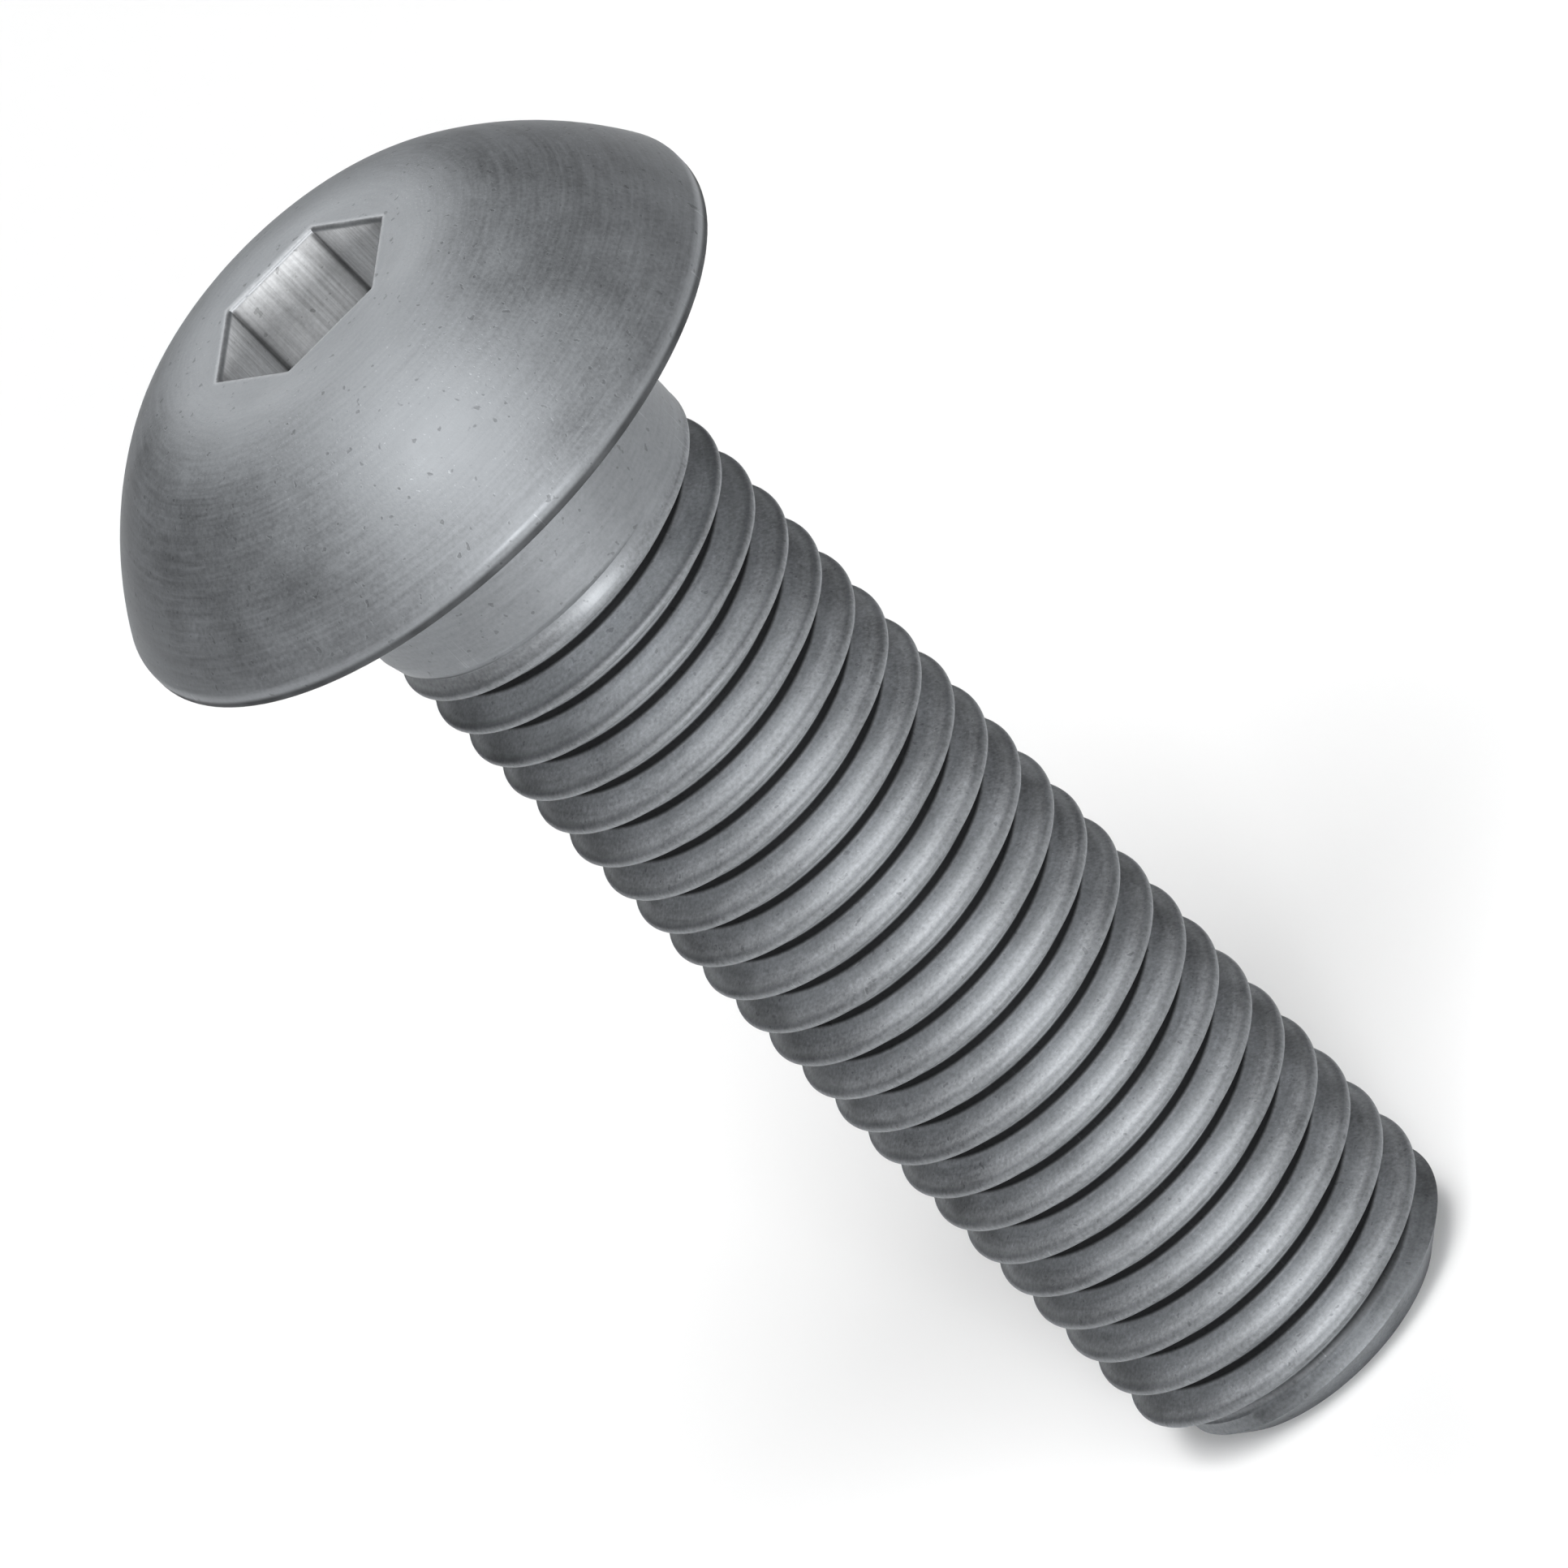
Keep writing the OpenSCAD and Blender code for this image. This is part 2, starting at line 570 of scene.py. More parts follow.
def rounded_corner(
    before: Point2, corner: Point2, after: Point2, radius: float, steps: int
) -> list[Point2]:
    """Rounds a corner of an outline.

    Args:
        before: The outline's point before the corner.
        corner: The corner itself.
        after: The outline's point after the corner.
        radius: Radius of the rounding.
        steps: Number of steps around it.

    Returns:
        Points around the rounding, from its start to its end.
    """
    here = Vector(corner)
    back = (Vector(before) - here).normalized()
    on = (Vector(after) - here).normalized()
    half = back.angle(on) / 2
    centre = here + (back + on).normalized() * (radius / math.sin(half))
    start = here + back * (radius / math.tan(half)) - centre
    end = here + on * (radius / math.tan(half)) - centre
    sweep = start.angle_signed(end)
    turned = [Matrix.Rotation(-sweep * step / steps, 2) @ start for step in range(steps + 1)]
    return [tuple(centre + offset) for offset in turned]


@dataclass
class Head:
    """Domed head with its hexagon socket, and the neck under it.

    Args:
        head_d: Diameter of the head.
        head_h: Height of the head.
        neck_r: Radius of the neck.
        socket_af: Width of the socket across its flats.
        socket_depth: Depth of the socket's walls.
        join: Distance below the bearing face at which the thread takes over.
        rim_edge: Rounding of the rim's lower edge.
        rim_round: Rounding between the rim's wall and the dome.
        land_d: Diameter of the flat land around the socket.
        crown_r: Radius of the crown between the land and the dome.
        rim_t: Thickness of the rim's wall.
        seat_fillet_r: Fillet between the bearing face and the neck.
        mouth_edge: Rounding of the socket's mouth.
        socket_ring: Flat ring at the foot of the socket's walls.
        socket_point_d: Diameter of the blunt point of the socket's cone.
        socket_point_angle: Full angle of that cone, in degrees.
    """

    head_d: float
    head_h: float
    neck_r: float
    socket_af: float
    socket_depth: float
    join: float
    rim_edge: float = 0.10 * MM
    rim_round: float = 0.30 * MM
    land_d: float = 5.42 * MM
    crown_r: float = 4.0 * MM
    rim_t: float = 0.38 * MM
    seat_fillet_r: float = 0.35 * MM
    mouth_edge: float = 0.09 * MM
    socket_ring: float = 0.15 * MM
    socket_point_d: float = 0.6 * MM
    socket_point_angle: float = 120.0

    def dome(self) -> tuple[float, float]:
        """Finds the dome's arc, which starts at the rim's edge and runs smoothly into the crown.

        Returns:
            Height of the arc's centre on the axis, and its radius.
        """
        rim_r, land_r, crown_r = self.head_d / 2, self.land_d / 2, self.crown_r
        crown_z = self.head_h - crown_r
        rest = rim_r**2 + self.rim_t**2 - crown_r**2 - land_r**2 - crown_z**2
        a = 4 * (crown_r**2 - (crown_z - self.rim_t) ** 2)
        b = -8 * crown_r**2 * crown_z - 4 * rest * (crown_z - self.rim_t)
        c = 4 * crown_r**2 * (land_r**2 + crown_z**2) - rest**2
        centre = (-b - math.sqrt(b * b - 4 * a * c)) / (2 * a)
        return centre, math.hypot(rim_r, self.rim_t - centre)

    def hexagon(self, apothem: float) -> Callable[[float], float]:
        """Radius of a hexagon with corners on local Y, at any angle.

        Args:
            apothem: Distance from the axis to a flat.

        Returns:
            A function from angle to radius.
        """
        half = HEX_TURN / 2
        return lambda angle: apothem / math.cos((angle + half) % HEX_TURN - half)

    def build(self) -> bpy.types.Mesh:
        """Skins the neck, the underside, the dome and the socket, from the thread's join inwards.

        Returns:
            The skin, open only at the join.
        """
        skin = RingSkin()
        quarter = QUARTER_TURN
        rim_r, neck_r, fillet = self.head_d / 2, self.neck_r, self.seat_fillet_r
        neck_top = (neck_r, -fillet)
        neck_foot = (neck_r, -self.join)
        skin.path([neck_foot, *line(neck_foot, neck_top, steps=4)])
        skin.path(arc((neck_r + fillet, -fillet), fillet, math.pi, quarter, steps=6))
        face_edge = (rim_r - self.rim_edge, 0.0)
        skin.path(line((neck_r + fillet, 0.0), face_edge, steps=5))
        skin.path(arc((face_edge[0], self.rim_edge), self.rim_edge, -quarter, 0.0, steps=5))

        dome_z, dome_r = self.dome()
        round_r = rim_r - self.rim_round
        round_z = dome_z + math.sqrt((dome_r - self.rim_round) ** 2 - round_r**2)
        dome_start = math.atan2(round_z - dome_z, round_r)
        skin.path(arc((round_r, round_z), self.rim_round, 0.0, dome_start, steps=5))
        land_r, crown_z = self.land_d / 2, self.head_h - self.crown_r
        dome_end = math.atan2(crown_z - dome_z, land_r)
        skin.path(arc((0.0, dome_z), dome_r, dome_start, dome_end, steps=22)[1:])
        skin.path(arc((land_r, crown_z), self.crown_r, dome_end, quarter, steps=26)[1:])
        self._skin_socket(skin, land_r)
        return skin.to_mesh("head_skin")

    def _skin_socket(self, skin: RingSkin, land_r: float) -> None:
        """Adds the land's inner part, the socket's mouth, walls and floor.

        Args:
            skin: The skin so far, whose last ring is the land's outer edge.
            land_r: Radius of that ring.
        """
        flat, edge = self.socket_af / 2, self.mouth_edge
        mouth = self.hexagon(flat + edge)
        land_steps = 4
        for step in range(1, land_steps):
            share = step / land_steps
            skin.ring(lambda a, t=share: land_r + (mouth(a) - land_r) * t, self.head_h)
        rounding = arc((flat + edge, self.head_h - edge), edge, QUARTER_TURN, math.pi, steps=5)
        for apothem, height in rounding:
            skin.ring(self.hexagon(apothem), height)
        floor_z = self.head_h - self.socket_depth
        wall_steps = 6
        for step in range(1, wall_steps + 1):
            height = self.head_h - edge + (floor_z - self.head_h + edge) * step / wall_steps
            skin.ring(self.hexagon(flat), height)
        cone_r, point_r = flat - self.socket_ring, self.socket_point_d / 2
        point_z = floor_z - (cone_r - point_r) / math.tan(math.radians(self.socket_point_angle) / 2)
        foot, point = (cone_r, floor_z), (point_r, point_z)
        skin.path([foot, *line(foot, point, steps=4), point])
        skin.close(point_z)


@dataclass
class Tip:
    """Flat end of the shank, with the last of its chamfer.

    Args:
        shank_l: Length from the bearing face to the end.
        join: Distance from the bearing face at which the thread hands over to the tip.
        join_r: Radius of the chamfer there.
        end_r: Radius at which the chamfer would meet the flat end.
        edge: Rounding between the chamfer and the flat end.
    """

    shank_l: float
    join: float
    join_r: float
    end_r: float
    edge: float = 0.16 * MM

    def build(self) -> bpy.types.Mesh:
        """Skins the tip from the thread's join to the middle of the flat end.

        Returns:
            The skin, open only at the join.
        """
        skin = RingSkin()
        start, corner = (self.join_r, -self.join), (self.end_r, -self.shank_l)
        inner = (self.end_r / 2, -self.shank_l)
        skin.path([start])
        skin.path(rounded_corner(start, corner, inner, self.edge, steps=6))
        skin.path(line((self.end_r - self.edge, -self.shank_l), (0.0, -self.shank_l), steps=5))
        skin.close(-self.shank_l)
        return skin.to_mesh("tip_skin")


class TreeBuilder:
    """A Geometry Nodes tree with named inputs.

    Args:
        name: Name of the tree.
    """

    def __init__(self, name: str) -> None:
        self.tree = bpy.data.node_groups.new(name, "GeometryNodeTree")
        self.tree.is_modifier = True
        self.tree.interface.new_socket("Geometry", in_out="INPUT", socket_type="NodeSocketGeometry")
        self.tree.interface.new_socket("Geometry", in_out="OUTPUT", socket_type="NodeSocketGeometry")
        self.entry = self.tree.nodes.new("NodeGroupInput")
        self.values: dict[str, Any] = {}

    def input(self, name: str, kind: str, value: Any) -> bpy.types.NodeSocket:
        """Adds a named input.

        Args:
            name: Name of the input.
            kind: Type of its socket.
            value: What the modifier sets it to.

        Returns:
            The socket inside the tree.
        """
        item = self.tree.interface.new_socket(name, in_out="INPUT", socket_type=kind)
        self.values[item.identifier] = value
        return self.entry.outputs[name]

    def node(self, kind: str, settings: Settings = None, inputs: Inputs = None) -> bpy.types.Node:
        """Adds a node as add_node does, and returns it."""
        return add_node(self.tree, kind, settings, inputs)

    def math(self, operation: str, *values: Any) -> bpy.types.NodeSocket:
        """Adds a Math node on these values and returns its result."""
        return self.node("ShaderNodeMath", {"operation": operation}, dict(enumerate(values))).outputs[0]

    def clamp(self, value: Any, low: Any, high: Any) -> bpy.types.NodeSocket:
        """Keeps a value between two others."""
        return self.node("ShaderNodeClamp", None, {"Value": value, "Min": low, "Max": high}).outputs[0]

    def finish(self, geometry: bpy.types.NodeSocket) -> None:
        """Ends the tree with this geometry."""
        leave = self.tree.nodes.new("NodeGroupOutput")
        self.tree.links.new(geometry, leave.inputs["Geometry"])

    def to_mesh(self, name: str) -> bpy.types.Mesh:
        """Runs the tree on an empty object and keeps its result.

        Args:
            name: Name of the mesh.

        Returns:
            The result as a plain mesh.
        """
        carrier = bpy.data.objects.new(name, bpy.data.meshes.new(name + "_carrier"))
        bpy.context.scene.collection.objects.link(carrier)
        modifier = carrier.modifiers.new(name, "NODES")
        modifier.node_group = self.tree
        for identifier, value in self.values.items():
            modifier[identifier] = value
        graph = bpy.context.evaluated_depsgraph_get()
        made = bpy.data.meshes.new_from_object(carrier.evaluated_get(graph), depsgraph=graph)
        made.name = name
        carrier.modifiers.remove(modifier)
        bpy.data.objects.remove(carrier)
        return made


@dataclass
class Thread:
    """Right-hand 60 degree thread with rounded crests and roots.

    Args:
        crest_r: Radius over the crests.
        neck_r: Radius of the neck that the thread runs out into.
        full_end: Distance from the bearing face to the start of the tip's chamfer.
        shank_l: Length from the bearing face to the end of the tip.
        pitch: Distance from one crest to the next.
        neck_l: Length of the plain neck.
        runout_l: Length over which the groove runs out at the neck.
        tip_inset: How far the flat end lies inside the roots.
        start: Distance below the bearing face at which the thread's mesh starts.
        crest_round: Rounding of the crest's corners.
        root_round: Rounding of the root's corners.
        corner_steps: Steps around each rounding.
        cut_round: Softness of the edge between the thread and the chamfer.
        tip_margin: Length of chamfer that is left to the tip's own skin.
    """

    crest_r: float
    neck_r: float
    full_end: float
    shank_l: float
    pitch: float = 25.4 / 24 * MM
    neck_l: float = 3.2 * MM
    runout_l: float = 0.9 * MM
    tip_inset: float = 0.33 * MM
    start: float = 2.9 * MM
    crest_round: float = 0.11 * MM
    root_round: float = 0.12 * MM
    corner_steps: int = 3
    cut_round: float = 0.03 * MM
    tip_margin: float = 0.2 * MM
    depth: float = field(init=False)
    end_r: float = field(init=False)

    def __post_init__(self) -> None:
        """Works out the groove's depth and the tip's radius."""
        sharp_h = self.pitch / 2 / math.tan(FLANK_ANGLE)
        self.depth = sharp_h * DEPTH_SHARE
        self.end_r = self.crest_r - self.depth - self.tip_inset

    @property
    def end(self) -> float:
        """Distance from the bearing face at which the tip's own skin takes over."""
        return self.shank_l - self.tip_margin

    @property
    def half_crest(self) -> float:
        """Half the width of a crest."""
        return self.pitch * CREST_SHARE / 2

    @property
    def slope(self) -> float:
        """Rise of the tip's chamfer for each unit of length."""
        return (self.crest_r - self.end_r) / (self.shank_l - self.full_end)

    def profile(self) -> list[Point2]:
        """One pitch of the thread, from the middle of a crest.

        Returns:
            Points as distance towards the tip, and depth below the crests.
        """
        crest, flank = self.half_crest, self.depth * math.tan(FLANK_ANGLE)
        root = crest + flank
        corners = [(-crest, 0.0), (crest, 0.0), (root, self.depth), (self.pitch - root, self.depth)]
        before = (corners[-1][0] - self.pitch, self.depth)
        after = (corners[0][0] + self.pitch, 0.0)
        ring = [before, *corners, after]
        radii = [self.crest_round, self.crest_round, self.root_round, self.root_round]
        points: list[Point2] = []
        for place, radius in enumerate(radii):
            points += rounded_corner(*ring[place : place + 3], radius, self.corner_steps)
        return points

    def build(self, material: bpy.types.Material) -> bpy.types.Mesh:
        """Winds the profile down the shank.

        Args:
            material: What the thread is made of.

        Returns:
            The thread's skin, open at both ends.
        """
        points = self.profile()
        outline = bpy.data.meshes.new("thread_profile")
        outline.from_pydata([(along, deep, 0.0) for along, deep in points], [], [])
        template = bpy.data.objects.new("thread_profile", outline)
        # At the back, half a turn round, the last full crest ends at the chamfer.
        # Spare turns lie past both ends.
        last_crest = self.full_end - self.half_crest + self.pitch / 2
        turns_up = math.ceil((last_crest - self.start) / self.pitch) + 1
        turns_down = math.ceil((self.end - last_crest) / self.pitch) + 2
        tree = TreeBuilder("wound_thread")
        columns = tree.input("Columns", "NodeSocketInt", COLUMNS)
        per_pitch = tree.input("Rows per Pitch", "NodeSocketInt", len(points))
        rows = tree.input("Rows", "NodeSocketInt", (turns_up + turns_down) * len(points))
        pitch = tree.input("Pitch", "NodeSocketFloat", self.pitch)
        first = tree.input("First Crest", "NodeSocketFloat", last_crest - turns_up * self.pitch)
        start = tree.input("Start", "NodeSocketFloat", self.start)
        end = tree.input("End", "NodeSocketFloat", self.end)
        neck_l = tree.input("Neck Length", "NodeSocketFloat", self.neck_l)
        runout = tree.input("Runout", "NodeSocketFloat", self.runout_l)
        neck_r = tree.input("Neck Radius", "NodeSocketFloat", self.neck_r)
        crest_r = tree.input("Crest Radius", "NodeSocketFloat", self.crest_r)
        shank_l = tree.input("Shank Length", "NodeSocketFloat", self.shank_l)
        end_r = tree.input("End Radius", "NodeSocketFloat", self.end_r)
        slope = tree.input("Chamfer Slope", "NodeSocketFloat", self.slope)
        cut_round = tree.input("Cut Rounding", "NodeSocketFloat", self.cut_round)
        shape = tree.input("Profile", "NodeSocketObject", template)
        steel = tree.input("Material", "NodeSocketMaterial", material)

        # The grid reaches from -0.5 to 0.5 both ways: X goes once round, and Y goes down the rows
        across_count = tree.math("ADD", columns, 1.0)
        size = {"Size X": 1.0, "Size Y": 1.0, "Vertices X": across_count, "Vertices Y": rows}
        grid = tree.node("GeometryNodeMeshGrid", None, size)
        where = tree.node("GeometryNodeInputPosition").outputs[0]
        split = tree.node("ShaderNodeSeparateXYZ", None, {0: where})
        turned = tree.math("ADD", split.outputs["X"], 0.5)
        share = tree.math("ADD", split.outputs["Y"], 0.5)
        row = tree.math("ROUND", tree.math("MULTIPLY", share, tree.math("SUBTRACT", rows, 1.0)))
        turn = tree.math("FLOOR", tree.math("DIVIDE", tree.math("ADD", row, 0.5), per_pitch))
        corner = tree.math("SUBTRACT", row, tree.math("MULTIPLY", turn, per_pitch))

        source = tree.node("GeometryNodeObjectInfo", None, {"Object": shape}).outputs["Geometry"]
        picked = {"Geometry": source, "Value": where, "Index": tree.math("ROUND", corner)}
        sample = tree.node("GeometryNodeSampleIndex", {"data_type": "FLOAT_VECTOR"}, picked)
        point = tree.node("ShaderNodeSeparateXYZ", None, {0: sample.outputs[0]})

        wound = tree.math("MULTIPLY", tree.math("SUBTRACT", turn, turned), pitch)
        raw = tree.math("ADD", tree.math("ADD", first, wound), point.outputs["X"])
        along = tree.clamp(raw, start, end)
        past_neck = tree.math("SUBTRACT", along, neck_l)
        fade = tree.clamp(tree.math("DIVIDE", past_neck, runout), 0.0, 1.0)
        step_down = tree.math("MULTIPLY", tree.math("SUBTRACT", crest_r, neck_r), fade)
        body = tree.math("ADD", neck_r, step_down)
        groove = tree.math("SUBTRACT", body, tree.math("MULTIPLY", point.outputs["Y"], fade))
        rise = tree.math("MULTIPLY", tree.math("SUBTRACT", shank_l, along), slope)
        cone = tree.math("ADD", end_r, rise)
        radius = tree.math("SMOOTH_MIN", groove, cone, cut_round)

        angle = tree.math("MULTIPLY", turned, math.tau)
        across = tree.math("MULTIPLY", radius, tree.math("COSINE", angle))
        level = tree.math("MULTIPLY", radius, tree.math("SINE", angle))
        place = {"X": across, "Y": level, "Z": tree.math("MULTIPLY", along, -1.0)}
        spot = tree.node("ShaderNodeCombineXYZ", None, place).outputs[0]
        moving = {"Geometry": grid.outputs["Mesh"], "Position": spot}
        moved = tree.node("GeometryNodeSetPosition", None, moving)
        welding = {"Geometry": moved.outputs[0], "Distance": WELD}
        welded = tree.node("GeometryNodeMergeByDistance", None, welding)
        real = tree.node("GeometryNodeRealizeInstances", None, {"Geometry": welded.outputs[0]})
        dressing = {"Geometry": real.outputs[0], "Material": steel}
        dressed = tree.node("GeometryNodeSetMaterial", None, dressing)
        tree.finish(dressed.outputs[0])
        made = tree.to_mesh("thread_skin")
        bpy.data.objects.remove(template)
        return made


class Steel:
    """The screw's steel, made from the distance to the screw's own axis and from fine noise.

    Args:
        placement: Where the screw stands.
        head: Its head and neck.
        thread: Its thread.
        look: The finish.
        spans: Where the zones of the surface start and end.
    """

    def __init__(
        self,
        placement: Placement,
        head: Head,
        thread: Thread,
        look: SteelFinish,
        spans: ZoneSpans = ZoneSpans(),
    ) -> None:
        self.head, self.thread, self.look, self.spans = head, thread, look, spans
        self.graph = ShaderGraph("satin_steel")
        own = placement.matrix().inverted()
        coords = self.graph.node("ShaderNodeTexCoord", None, None, "Object")
        mapping = {"Vector": coords, "Location": own.to_translation(), "Rotation": own.to_euler()}
        self.place = self.graph.node("ShaderNodeMapping", {"vector_type": "POINT"}, mapping)
        self.x = self.graph.node("ShaderNodeSeparateXYZ", None, {0: self.place}, "X")
        self.y, self.z = self.graph.part(self.x, "Y"), self.graph.part(self.x, "Z")
        self.radius = self.x.hypot(self.y)
        self.layers: dict[str, Signal] = {}

    def build(self) -> bpy.types.Material:
        """Joins zones and marks into one material.

        Returns:
            The material.
        """
        graph, look = self.graph, self.look
        self._thread_zones()
        self._head_zones()
        self._marks()
        bump = {"Strength": look.bump, "Distance": look.relief, "Height": self._sum(0.0, look.height)}
        surface = {
            "Base Color": self._colour(),
            "Roughness": self._sum(look.roughness, look.sheen),
            "Metallic": self._sum(look.metallic, look.metal),
            "Normal": graph.node("ShaderNodeBump", None, bump),
        }
        return graph.finish(graph.node("ShaderNodeBsdfPrincipled", None, surface))

    def _sum(self, start: float, weights: Weights) -> Number:
        """Adds the weighted layers to a start value."""
        total: Number = start
        for item in fields(weights):
            weight = getattr(weights, item.name)
            if weight:
                total = total + self.layers[item.name] * weight
        return total

    def _thread_zones(self) -> None:
        """Finds the thread's crests, flanks and roots by their depth below the crests."""
        thread, spans = self.thread, self.spans
        along = 0.0 - self.z
        fade = along.ramp(thread.neck_l, thread.neck_l + thread.runout_l, Blend.LINEAR)
        body = thread.neck_r + fade * (thread.crest_r - thread.neck_r)
        groove = (body - self.radius) / fade.at_least(spans.least_depth) / thread.depth
        on_thread = along.zone(spans.thread, thread.neck_l)
        chamfer = (spans.chamfer[0] * thread.pitch, spans.chamfer[1] * thread.pitch)
        full = on_thread * (1 - along.zone(chamfer, thread.full_end))
        self.layers["thread"] = on_thread
        self.layers["crest"] = groove.zone(spans.crest) * on_thread
        self.layers["flank"] = groove.zone(spans.flank) * full * fade
        self.layers["root"] = groove.zone(spans.root) * full

    def _head_zones(self) -> None:
        """Finds the rim and the socket's mouth and walls, and the painted shade in its corners and on
        its floor.
        """
        head, spans, look = self.head, self.spans, self.look
        top, flat, corner_r = head.head_h, head.socket_af / 2, head.socket_af / math.sqrt(3)
        slant_x, slant_y = self.x * math.cos(HEX_TURN), self.y * math.sin(HEX_TURN)
        slants = (slant_x + slant_y).size().at_least((slant_x - slant_y).size())
        from_flats = self.x.size().at_least(slants) - flat
        walls = self.z.zone(spans.wall, top) * self.z.zone(spans.head)
        socket = from_flats.zone(spans.socket) * walls
        # Painted shade: darker towards the socket's corners, darker still in the corners, and darker on
        # the socket's floor
        towards_corner = self.radius.ramp(flat + spans.corner_start, corner_r)
        in_corner = self.radius.zone(spans.corner, corner_r)
        corner = towards_corner * look.corner_shade + in_corner * look.corner_line
        floor = self.z.zone(spans.floor, top) * look.floor_shade
        self.layers["socket"] = socket
        self.layers["shade"] = (corner + floor) * socket
        self.layers["mouth"] = from_flats.zone(spans.mouth) * self.z.zone(spans.mouth_top, top)
        self.layers["rim"] = self.radius.zone(spans.rim, head.head_d / 2) * self.z.zone(spans.rim_low)

    def _marks(self) -> None:
        """Adds grain, patches, rings from forming, lines from broaching, pits and scratches."""
        graph, look, layers = self.graph, self.look, self.layers
        x, y, z = self.x, self.y, self.z
        grain = graph.ripple(self.place, look.grain, 3.0)
        run = look.streak_run
        ring_place = {"X": x / self.radius * run, "Y": y / self.radius * run, "Z": z - self.radius}
        rings = graph.ripple(graph.node("ShaderNodeCombineXYZ", None, ring_place), look.streak, 3.0)
        line_place = {"X": x, "Y": y, "Z": z * look.stretch}
        lines = graph.ripple(graph.node("ShaderNodeCombineXYZ", None, line_place), look.broach_line)
        socket = layers["socket"]
        first, second = (self._scratches(turn) for turn in look.scratch_turns)
        layers["grain"] = grain
        layers["speckle"] = grain * (layers["thread"] + 1.0)
        layers["mottle"] = graph.ripple(self.place, look.mottle, 3.0)
        layers["tooling"] = rings * (1 - socket) * look.ring_share + lines * socket * look.line_share
        layers["pits"] = graph.noise(self.place, look.pit, 1.0).zone(look.pit_span)
        layers["scratches"] = first + second

    def _scratches(self, turn: Sequence[float]) -> Signal:
        """Adds a few fine scratches that all run one way.

        Args:
            turn: Direction of the scratches, as three turns in radians.

        Returns:
            1 in a scratch and 0 elsewhere.
        """
        graph, look = self.graph, self.look
        long_way = {"Vector": self.place, "Rotation": turn, "Scale": (1.0, 1.0, look.stretch)}
        along = graph.node("ShaderNodeMapping", {"vector_type": "POINT"}, long_way)
        patches = graph.noise(along, look.mottle, 0.0).zone(look.patch_span)
        return graph.noise(along, look.hairline, 0.0).zone(look.hairline_span) * patches

    def _colour(self) -> Signal:
        """Lays the zones' colours over each other and tones them.

        Returns:
            The colour.
        """
        graph, look, layers = self.graph, self.look, self.layers
        mottle = layers["mottle"]
        patchy = mottle * look.wear_mottle + layers["grain"] * look.wear_grain + 1.0
        worn = (layers["crest"] * look.crest_wear + layers["mouth"] * look.mouth_wear) * patchy
        coats = (
            # Partly painted light: the flanks are lighter than the plain steel to lift their shade,
            # besides their burnish from rolling
            (layers["flank"], look.rolled),
            (worn, look.edge),
            (layers["rim"] * (mottle * look.rim_mottle + look.rim_shade), look.root),
            # Painted shade: the thread's roots are laid over with the near-black root colour
            (layers["root"] * look.root_shade, look.root),
            (layers["socket"], look.broached),
            # Painted shade in the socket's corners and on its floor
            (layers["shade"], look.root),
        )
        colour: Any = look.base
        for share, coat in coats:
            colour = graph.mix(share, colour, coat)
        toned = {0: colour, "Scale": self._sum(1.0, look.tone)}
        return graph.node("ShaderNodeVectorMath", {"operation": "SCALE"}, toned)


@dataclass
class Screw:
    """The whole screw, as one closed mesh.

    Args:
        placement: Where the screw stands.
        head: Its head and neck.
        thread: Its thread.
        finish: Its steel.
    """

    placement: Placement
    head: Head
    thread: Thread
    finish: SteelFinish = field(default_factory=SteelFinish)

    @classmethod
    def from_frame(cls, frame: dict[str, Any]) -> "Screw":
        """Takes the screw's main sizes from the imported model.


        Returns:
            The screw.
        """
        mounts = {mount["name"]: mount for mount in frame["record"]["mounts"]}
        placement = Placement.from_record(mounts)
        low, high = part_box(NODE)
        neck, wound, key = (mounts[name] for name in ("neck", "thread", "key_socket"))
        mouth = (Vector(key["pos_m"]) - placement.seat).dot(-placement.to_tip)
        middle = (Vector(wound["pos_m"]) - placement.seat).dot(placement.to_tip)
        full_end = middle + wound["dims"]["length_mm"] * MM / 2
        thread = Thread(
            crest_r=wound["dims"]["r_mm"] * MM,
            neck_r=neck["dims"]["r_mm"] * MM,
            full_end=full_end,
            shank_l=placement.seat.z - low.z,
        )
        head = Head(
            head_d=high.y - low.y,
            head_h=mouth,
            neck_r=thread.neck_r,
            socket_af=2 * key["dims"]["r_mm"] * MM,
            socket_depth=key["dims"]["length_mm"] * MM,
            join=thread.start,
        )
        return cls(placement, head, thread)

    def build(self) -> bpy.types.Object:
        """Welds head, thread and tip into one closed piece and sets it in its place.

        Returns:
            The finished piece.
        """
        thread = self.thread
        steel = Steel(self.placement, self.head, thread, self.finish).build()
        join_r = thread.end_r + (thread.shank_l - thread.end) * thread.slope
        tip = Tip(thread.shank_l, thread.end, join_r, thread.end_r)
        whole = bmesh.new()
        for skin in (self.head.build(), thread.build(steel), tip.build()):
            whole.from_mesh(skin)
            bpy.data.meshes.remove(skin)
        bmesh.ops.remove_doubles(whole, verts=whole.verts, dist=WELD)
        bmesh.ops.recalc_face_normals(whole, faces=whole.faces)
        loose = sum(not edge.is_manifold for edge in whole.edges)
        mesh = bpy.data.meshes.new(NODE + "_steel")
        whole.to_mesh(mesh)
        whole.free()
        mesh.transform(self.placement.matrix())
        mesh.materials.clear()
        mesh.materials.append(steel)
        mesh.polygons.foreach_set("material_index", [0] * len(mesh.polygons))
        mesh.shade_smooth()
        mesh.set_sharp_from_angle(angle=SHARP_ANGLE)
        piece = bpy.data.objects.new(NODE + "_steel", mesh)
        bpy.context.scene.collection.objects.link(piece)
        LOG.info("%s: %d faces, %d open edges", piece.name, len(mesh.polygons), loose)
        return piece


# The studio


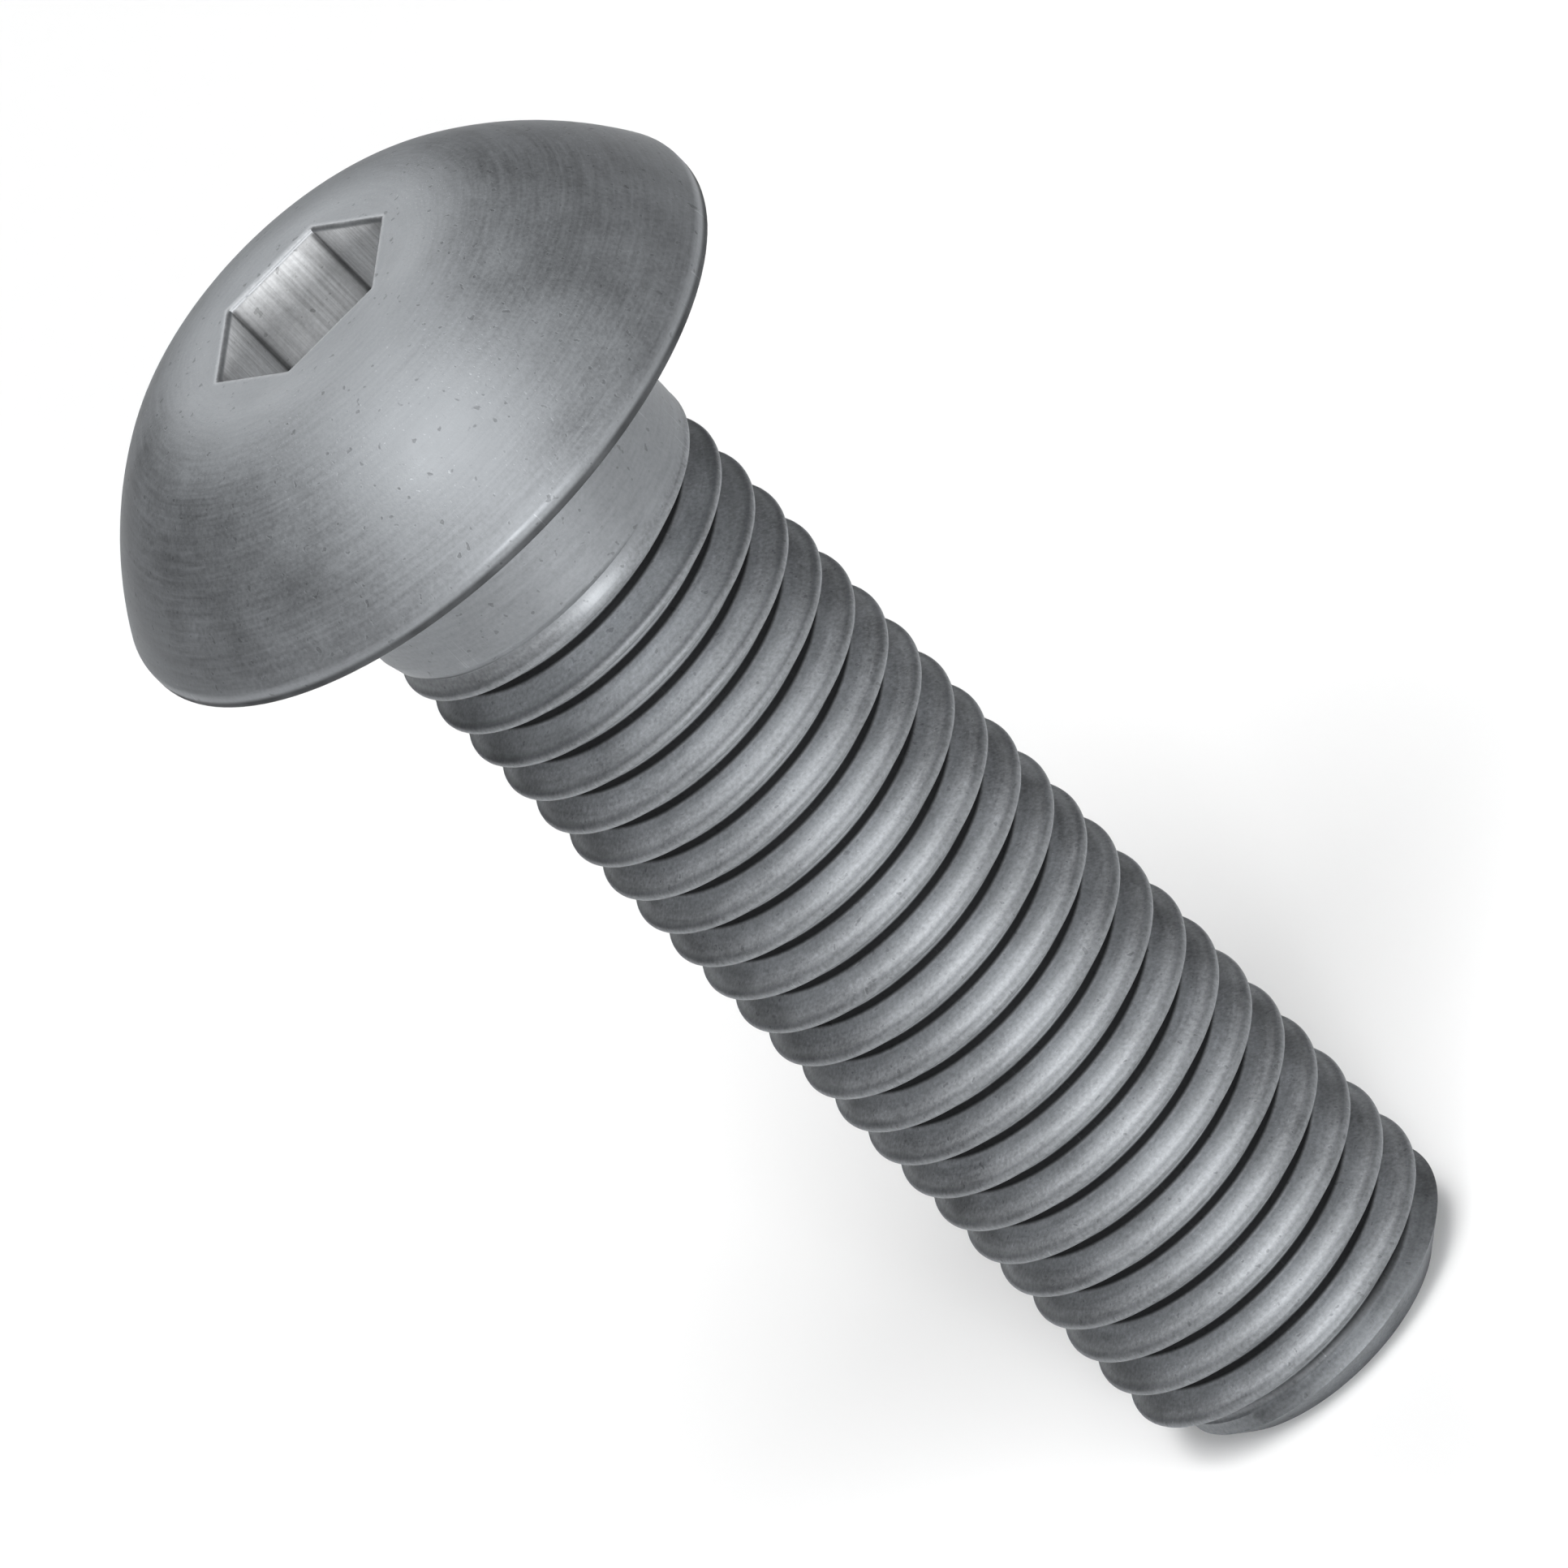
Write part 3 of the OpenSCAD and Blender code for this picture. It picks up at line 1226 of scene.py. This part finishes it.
@dataclass(frozen=True)
class Lamp:
    """A soft rectangular lamp that points at the screw.

    Args:
        role: What it is for.
        azimuth: Direction round the screw, in degrees from +X.
        elevation: Height of that direction, in degrees.
        width: Size across the screw.
        length: Size along the screw.
        level: Light that it throws on a surface that faces it, where 1 shows white as white.
        distance: Distance from the screw.
    """

    role: LampRole
    azimuth: float
    elevation: float
    width: float
    length: float
    level: float
    distance: float = 0.50

    def build(self, target: Vector) -> bpy.types.Object:
        """Hangs the lamp.

        Args:
            target: The point that it faces.

        Returns:
            The lamp.
        """
        data = bpy.data.lights.new(self.role.value, "AREA")
        data.shape = "RECTANGLE"
        data.size, data.size_y = self.width, self.length
        data.energy = self.level * math.pi**2 * self.distance**2
        turn, rise = math.radians(self.azimuth), math.radians(self.elevation)
        back = Vector((math.cos(turn) * math.cos(rise), math.sin(turn) * math.cos(rise), math.sin(rise)))
        lamp = bpy.data.objects.new(self.role.value, data)
        lamp.location = target + back * self.distance
        lamp.visible_camera = False
        lamp.rotation_mode = "QUATERNION"
        lamp.rotation_quaternion = (-back).to_track_quat("-Z", "Y")
        bpy.context.scene.collection.objects.link(lamp)
        return lamp


@dataclass
class Studio:
    """White floor, soft lamps and a camera at the drawing's angle.

    Args:
        placement: Where the screw stands.
        floor_r: Radius of the floor.
        floor_tone: Colour of the floor.
        floor_roughness: Roughness of the floor.
        floor_sides: Sides of the floor's round edge.
        air: Brightness of the surrounding light.
        lean: Angle of the view from square to the axis, towards the head, in degrees.
        aim: Distance of the aimed point below the bearing face.
        frame_px: Width of the photograph.
        px_per_mm: Scale of the photograph.
        lens_mm: Focal length, long because the drawing has no perspective.
        lamps: The lamps.
    """

    placement: Placement
    floor_r: float = 3.0
    floor_tone: Colour = (0.96, 0.96, 0.96)
    floor_roughness: float = 0.9
    floor_sides: int = 96
    air: float = 0.03
    lean: float = 26.0
    aim: float = 11.38 * MM
    frame_px: int = 1932
    px_per_mm: float = 60.85
    lens_mm: float = 1000.0
    lamps: tuple[Lamp, ...] = (
        Lamp(LampRole.FRONT, azimuth=0.0, elevation=8.0, width=0.14, length=0.12, level=0.72),
        Lamp(LampRole.KEY, azimuth=0.0, elevation=64.0, width=0.38, length=0.26, level=0.76),
        Lamp(LampRole.BACK_TOP, azimuth=180.0, elevation=74.0, width=0.24, length=0.20, level=0.28),
        Lamp(LampRole.BACK, azimuth=180.0, elevation=35.0, width=0.20, length=0.15, level=0.20),
    )

    def build(self) -> None:
        """Sets up the floor, the light and the camera."""
        self._floor()
        self._world()
        target = self.placement.seat + self.placement.to_tip * self.aim
        for lamp in self.lamps:
            lamp.build(target)
        self._camera(target)
        bpy.context.scene.view_settings.view_transform = "Standard"

    def _floor(self) -> None:
        """Makes the floor."""
        shape = bmesh.new()
        bmesh.ops.create_circle(shape, cap_ends=True, segments=self.floor_sides, radius=self.floor_r)
        mesh = bpy.data.meshes.new("studio_floor")
        shape.to_mesh(mesh)
        shape.free()
        graph = ShaderGraph("white_floor")
        paint = {"Color": (*self.floor_tone, 1.0), "Roughness": self.floor_roughness}
        mesh.materials.append(graph.finish(graph.node("ShaderNodeBsdfDiffuse", None, paint)))
        floor = bpy.data.objects.new("studio_floor", mesh)
        bpy.context.scene.collection.objects.link(floor)

    def _world(self) -> None:
        """Fills the room with plain pale light."""
        world = bpy.data.worlds.new("studio_air")
        bpy.context.scene.world = world
        world.use_nodes = True
        background = world.node_tree.nodes["Background"]
        background.inputs["Color"].default_value = (1.0, 1.0, 1.0, 1.0)
        background.inputs["Strength"].default_value = self.air

    def _camera(self, target: Vector) -> None:
        """Sets the camera so that the axis runs from upper left to lower right.

        Args:
            target: The point in the middle of the picture.
        """
        to_tip = self.placement.to_tip
        level = Vector((0.0, 1.0, 0.0))
        facing = to_tip.cross(level)
        lean = math.radians(self.lean)
        back = facing * math.cos(lean) - to_tip * math.sin(lean)
        down_axis = level.cross(back)
        right = (down_axis + level).normalized()
        up = (level - down_axis).normalized()
        data = bpy.data.cameras.new("photo_camera")
        data.lens = self.lens_mm
        span = self.frame_px / self.px_per_mm * MM
        distance = span * data.lens / data.sensor_width
        camera = bpy.data.objects.new("photo_camera", data)
        turn = Matrix((right, up, back)).transposed()
        camera.matrix_world = Matrix.Translation(target + back * distance) @ turn.to_4x4()
        bpy.context.scene.collection.objects.link(camera)
        bpy.context.scene.camera = camera


def main() -> None:
    """Builds the screw on its frame, then the studio round it."""
    logging.basicConfig(level=logging.INFO, format="%(name)s: %(message)s")
    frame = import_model()
    screw = Screw.from_frame(frame)
    piece = screw.build()
    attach(piece, BODY)
    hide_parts(NODE)
    Studio(screw.placement).build()


if __name__ == "__main__":
    main()
